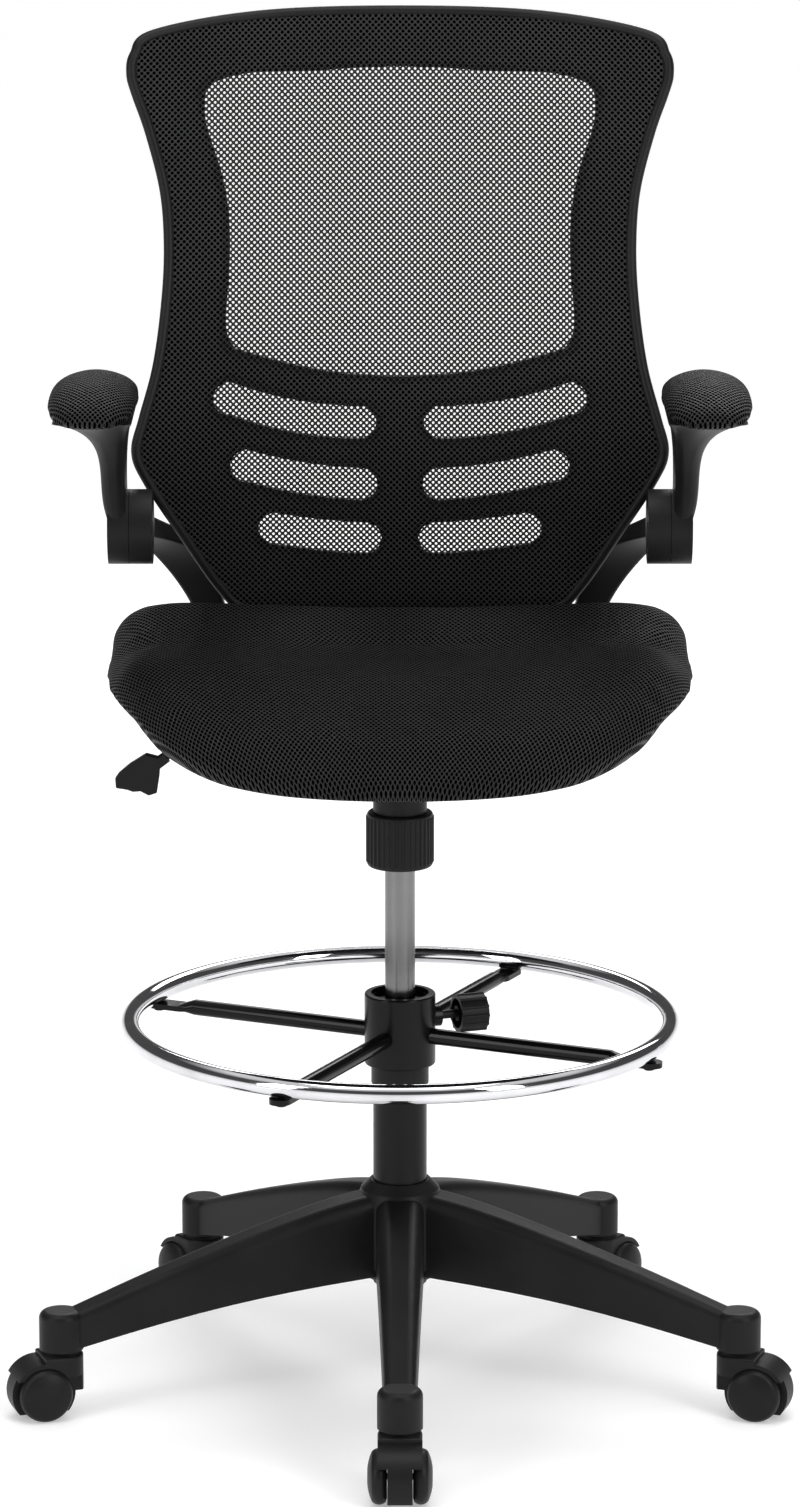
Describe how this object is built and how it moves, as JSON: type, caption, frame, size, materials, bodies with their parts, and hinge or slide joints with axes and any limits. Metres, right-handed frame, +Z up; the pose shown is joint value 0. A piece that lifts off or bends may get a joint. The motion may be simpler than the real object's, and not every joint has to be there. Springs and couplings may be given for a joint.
{
  "type": "drafting chair",
  "caption": "Tall mesh-back drafting chair with padded seat, flip-up arms, gas lift, sliding foot ring and castored star base.",
  "frame": {"origin": "on the floor under the column's axis", "axes": "+X to the sitter's left, +Y from the seat's front to its back, +Z up"},
  "size_m": [0.726, 0.7078, 1.2565],
  "materials": {
    "black_nylon": "fine-grained moulded glass-filled nylon, matte",
    "caster_tread": "smooth hard nylon wheel, satin",
    "black_satin_steel": "satin black powder coat",
    "black_gloss_steel": "gloss black enamel",
    "cylinder_steel": "ground steel pressure tube, satin",
    "zinc_steel": "zinc-plated steel",
    "ring_chrome": "polished chrome plate",
    "acetal": "acetal bearing plastic",
    "plywood": "moulded plywood",
    "spacer_mesh": "knitted three-dimensional spacer mesh over foam",
    "back_mesh": "stretched open-weave elastic mesh"
  },
  "bodies": {
    "base": {"base_star": "black_nylon", "column_tube": "black_satin_steel", "guide_bush": "acetal", "thrust_bearing": "zinc_steel"},
    "spindle": {"piston_rod": "zinc_steel", "retaining_clip": "zinc_steel"},
    "seat_post": {"gas_cylinder": "cylinder_steel", "mechanism_housing": "black_satin_steel", "tilt_pin": "zinc_steel", "tilt_spring": "zinc_steel"},
    "release_pin": {"release_pin": "zinc_steel"},
    "lever_bush": {"lever_bush": "acetal"},
    "lift_lever": {"lift_lever_rod": "zinc_steel", "lift_lever_handle": "black_nylon"},
    "tension_bolt": {"tension_bolt": "zinc_steel"},
    "tension_knob": {"tension_knob": "black_nylon"},
    "ring_slider": {"ring_bush": "acetal"},
    "foot_ring": {"ring_hub": "black_satin_steel", "ring_spokes": "black_gloss_steel", "foot_ring": "ring_chrome", "ring_screws": "black_gloss_steel"},
    "ring_lock": {"ring_lock_knob": "black_nylon"},
    "seat": {"seat_plate": "black_satin_steel", "seat_bolts": "zinc_steel", "seat_board": "plywood", "seat_cover": "black_nylon", "seat_cushion": "spacer_mesh", "side_bracket_left": "black_nylon", "side_bracket_right": "black_nylon", "bracket_bolts": "black_gloss_steel", "back_shell": "black_nylon", "back_mesh": "back_mesh", "back_trim": "black_nylon", "arm_pins": "zinc_steel"},
    "arm_left": {"arm_left": "black_nylon", "arm_pad_left": "spacer_mesh"},
    "arm_right": {"arm_right": "black_nylon", "arm_pad_right": "spacer_mesh"},
    "caster_1": {"caster_hood_1": "black_nylon", "caster_pins_1": "zinc_steel"},
    "caster_wheel_left_1": {"caster_wheel_left_1": "caster_tread"},
    "caster_wheel_right_1": {"caster_wheel_right_1": "caster_tread"},
    "caster_2": {"caster_hood_2": "black_nylon", "caster_pins_2": "zinc_steel"},
    "caster_wheel_left_2": {"caster_wheel_left_2": "caster_tread"},
    "caster_wheel_right_2": {"caster_wheel_right_2": "caster_tread"},
    "caster_3": {"caster_hood_3": "black_nylon", "caster_pins_3": "zinc_steel"},
    "caster_wheel_left_3": {"caster_wheel_left_3": "caster_tread"},
    "caster_wheel_right_3": {"caster_wheel_right_3": "caster_tread"},
    "caster_4": {"caster_hood_4": "black_nylon", "caster_pins_4": "zinc_steel"},
    "caster_wheel_left_4": {"caster_wheel_left_4": "caster_tread"},
    "caster_wheel_right_4": {"caster_wheel_right_4": "caster_tread"},
    "caster_5": {"caster_hood_5": "black_nylon", "caster_pins_5": "zinc_steel"},
    "caster_wheel_left_5": {"caster_wheel_left_5": "caster_tread"},
    "caster_wheel_right_5": {"caster_wheel_right_5": "caster_tread"}
  },
  "joints": [
    {"name": "seat_swivel", "type": "hinge", "parent": "base", "child": "spindle", "pos_m": [0, 0, 0.1], "axis": [0, 0, 1], "continuous": true},
    {"name": "seat_lift", "type": "slide", "parent": "spindle", "child": "seat_post", "axis": [0, 0, 1], "range_m": [-0.12, 0.075]},
    {"name": "seat_tilt", "type": "hinge", "parent": "seat_post", "child": "seat", "pos_m": [0, -0.035, 0.6], "axis": [-1, 0, 0], "range_deg": [0, 15], "stiffness_Nm_per_rad": 90, "springref_deg": -28.65},
    {"name": "tension_pull", "type": "slide", "parent": "seat_post", "child": "tension_bolt", "axis": [0, 0, 1], "range_m": [0, 0.0125], "deforming": ["tilt_spring"]},
    {"name": "tension_turn", "type": "hinge", "parent": "tension_bolt", "child": "tension_knob", "pos_m": [0, -0.08, 0.54], "axis": [0, 0, 1], "range_deg": [-720, 720]},
    {"name": "lever_lift", "type": "hinge", "parent": "seat_post", "child": "lever_bush", "pos_m": [-0.072, 0, 0.5965], "axis": [0, 1, 0], "range_deg": [0, 4.5], "stiffness_Nm_per_rad": 4, "springref_deg": -11.46},
    {"name": "lever_pull", "type": "slide", "parent": "lever_bush", "child": "lift_lever", "axis": [-1, 0, 0], "range_m": [0, 0.008]},
    {"name": "pin_press", "type": "slide", "parent": "seat_post", "child": "release_pin", "axis": [0, 0, -1], "range_m": [0, 0.006], "stiffness_N_per_m": 800, "springref_m": -0.001},
    {"name": "ring_slide", "type": "slide", "parent": "base", "child": "ring_slider", "axis": [0, 0, 1], "range_m": [-0.085, 0]},
    {"name": "ring_turn", "type": "hinge", "parent": "ring_slider", "child": "foot_ring", "pos_m": [0, 0, 0.34], "axis": [0, 0, 1], "continuous": true},
    {"name": "ring_lock_turn", "type": "hinge", "parent": "foot_ring", "child": "ring_lock", "pos_m": [0.04698, 0.0171, 0.35], "axis": [0.9397, 0.342, 0], "range_deg": [0, 720]},
    {"name": "arm_left_flip", "type": "hinge", "parent": "seat", "child": "arm_left", "pos_m": [-0.25, 0.135, 0.789], "axis": [-1, 0, 0], "range_deg": [0, 90]},
    {"name": "arm_right_flip", "type": "hinge", "parent": "seat", "child": "arm_right", "pos_m": [0.25, 0.135, 0.789], "axis": [-1, 0, 0], "range_deg": [0, 90]},
    {"name": "caster_swivel_1", "type": "hinge", "parent": "base", "child": "caster_1", "pos_m": [0, -0.328, 0.06], "axis": [0, 0, 1], "continuous": true},
    {"name": "wheel_spin_left_1", "type": "hinge", "parent": "caster_1", "child": "caster_wheel_left_1", "pos_m": [0, -0.348, 0.025], "axis": [1, 0, 0], "continuous": true},
    {"name": "wheel_spin_right_1", "type": "hinge", "parent": "caster_1", "child": "caster_wheel_right_1", "pos_m": [0, -0.348, 0.025], "axis": [1, 0, 0], "continuous": true},
    {"name": "caster_swivel_2", "type": "hinge", "parent": "base", "child": "caster_2", "pos_m": [0.31195, -0.10136, 0.06], "axis": [0, 0, 1], "continuous": true},
    {"name": "wheel_spin_left_2", "type": "hinge", "parent": "caster_2", "child": "caster_wheel_left_2", "pos_m": [0.33097, -0.10754, 0.025], "axis": [0.309, 0.9511, 0], "continuous": true},
    {"name": "wheel_spin_right_2", "type": "hinge", "parent": "caster_2", "child": "caster_wheel_right_2", "pos_m": [0.33097, -0.10754, 0.025], "axis": [0.309, 0.9511, 0], "continuous": true},
    {"name": "caster_swivel_3", "type": "hinge", "parent": "base", "child": "caster_3", "pos_m": [0.19279, 0.26536, 0.06], "axis": [0, 0, 1], "continuous": true},
    {"name": "wheel_spin_left_3", "type": "hinge", "parent": "caster_3", "child": "caster_wheel_left_3", "pos_m": [0.20455, 0.28154, 0.025], "axis": [-0.809, 0.5878, 0], "continuous": true},
    {"name": "wheel_spin_right_3", "type": "hinge", "parent": "caster_3", "child": "caster_wheel_right_3", "pos_m": [0.20455, 0.28154, 0.025], "axis": [-0.809, 0.5878, 0], "continuous": true},
    {"name": "caster_swivel_4", "type": "hinge", "parent": "base", "child": "caster_4", "pos_m": [-0.19279, 0.26536, 0.06], "axis": [0, 0, 1], "continuous": true},
    {"name": "wheel_spin_left_4", "type": "hinge", "parent": "caster_4", "child": "caster_wheel_left_4", "pos_m": [-0.20455, 0.28154, 0.025], "axis": [-0.809, -0.5878, 0], "continuous": true},
    {"name": "wheel_spin_right_4", "type": "hinge", "parent": "caster_4", "child": "caster_wheel_right_4", "pos_m": [-0.20455, 0.28154, 0.025], "axis": [-0.809, -0.5878, 0], "continuous": true},
    {"name": "caster_swivel_5", "type": "hinge", "parent": "base", "child": "caster_5", "pos_m": [-0.31195, -0.10136, 0.06], "axis": [0, 0, 1], "continuous": true},
    {"name": "wheel_spin_left_5", "type": "hinge", "parent": "caster_5", "child": "caster_wheel_left_5", "pos_m": [-0.33097, -0.10754, 0.025], "axis": [0.309, -0.9511, 0], "continuous": true},
    {"name": "wheel_spin_right_5", "type": "hinge", "parent": "caster_5", "child": "caster_wheel_right_5", "pos_m": [-0.33097, -0.10754, 0.025], "axis": [0.309, -0.9511, 0], "continuous": true}
  ],
  "couplings": [
    {"joint": "tension_pull", "follows": "seat_tilt", "m_per_rad": 0.0447},
    {"joint": "pin_press", "follows": "lever_lift", "m_per_rad": 0.072}
  ]
}
